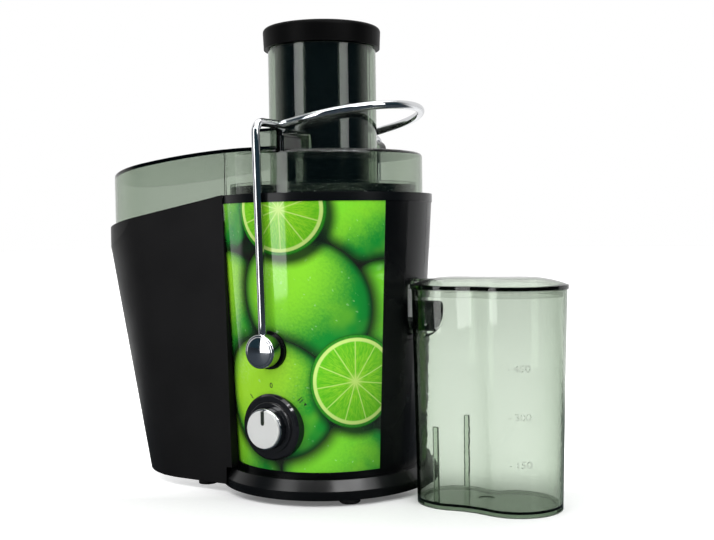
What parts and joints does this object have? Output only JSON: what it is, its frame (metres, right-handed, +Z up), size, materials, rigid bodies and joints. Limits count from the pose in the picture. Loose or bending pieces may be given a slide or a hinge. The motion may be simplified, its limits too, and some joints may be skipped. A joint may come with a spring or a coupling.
{
  "type": "centrifugal juicer",
  "caption": "Round tapered juicer with feed chute and pusher, wire locking arm, spinning conical filter on a motor, sliding pulp container and lidded jug.",
  "frame": {"origin": "middle of the footprint box at worktop height", "axes": "+X from the motor towards the spout and jug, -Y the front with the knob, +Z up along the motor axis"},
  "size_m": [0.3826, 0.1794, 0.3423],
  "materials": {
    "black_plastic": "fine satin black",
    "black_gloss": "polished black",
    "green_panel": "printed and lacquered",
    "clear_green": "transparent, green tint",
    "dark_plastic": "satin",
    "white_plastic": "moulded",
    "rubber": "matt",
    "steel": "turned",
    "stainless": "bright stainless",
    "chrome": "polished",
    "satin_silver": "satin silver",
    "laminations": "stacked sheet",
    "copper": "enamelled copper",
    "brass": "pressed",
    "cast_aluminium": "cast",
    "carbon": "matt"
  },
  "bodies": {
    "base": {"motor_housing": "black_plastic", "front_panel": "green_panel", "base_plate": "black_plastic", "base_feet": "rubber", "base_screws": "steel", "cord_gland": "rubber", "juice_bowl": "black_plastic", "lid": "clear_green", "safety_switch": "dark_plastic", "knob_bezel": "black_gloss", "rotary_switch": "dark_plastic", "stator_core": "laminations", "field_coils": "copper", "lower_bracket": "cast_aluminium", "upper_bracket": "cast_aluminium", "lower_bearing": "steel", "upper_bearing": "steel", "motor_bolts": "steel", "carbon_brushes": "carbon", "brush_holders": "brass", "motor_dampers": "rubber", "shaft_seal": "rubber"},
    "rotor": {"motor_shaft": "steel", "armature_core": "laminations", "armature_windings": "copper", "commutator": "copper", "cooling_fan": "white_plastic", "drive_coupling": "white_plastic", "filter_hub": "black_plastic", "filter_cone": "stainless", "filter_rim": "black_plastic", "grater_disc": "stainless"},
    "pusher": {"pusher_tube": "dark_plastic", "pusher_cap": "black_plastic"},
    "arm": {"arm_wire": "chrome", "arm_bosses": "chrome", "pivot_pins": "steel", "pin_clips": "steel", "lock_cam": "white_plastic"},
    "speed_knob": {"knob": "chrome", "knob_cap": "satin_silver", "switch_spindle": "steel"},
    "container": {"pulp_container": "black_plastic", "container_feet": "rubber"},
    "jug_body": {"jug": "clear_green"},
    "jug_cover": {"jug_lid": "clear_green"}
  },
  "joints": [
    {"name": "rotor_spin", "type": "hinge", "parent": "base", "child": "rotor", "pos_m": [-0.00055, 0, 0.147], "axis": [0, 0, 1], "continuous": true},
    {"name": "pusher_lift", "type": "slide", "parent": "base", "child": "pusher", "axis": [0, 0, 1], "range_m": [0, 0.14]},
    {"name": "arm_swing", "type": "hinge", "parent": "base", "child": "arm", "pos_m": [-0.00055, 0, 0.108], "axis": [0, 1, 0], "range_deg": [0, 48]},
    {"name": "knob_turn", "type": "hinge", "parent": "base", "child": "speed_knob", "pos_m": [-0.00055, -0.08333, 0.0535], "axis": [0, -1, 0], "range_deg": [-45, 45]},
    {"name": "container_slide", "type": "slide", "parent": "base", "child": "container", "axis": [-1, 0, 0], "range_m": [0, 0.12]},
    {"name": "jug_slide", "type": "slide", "parent": "base", "child": "jug_body", "axis": [1, 0, 0], "range_m": [0, 0.12]},
    {"name": "jug_lid_lift", "type": "slide", "parent": "jug_body", "child": "jug_cover", "axis": [0.0599, 0, 0.9982], "range_m": [0, 0.04]}
  ]
}
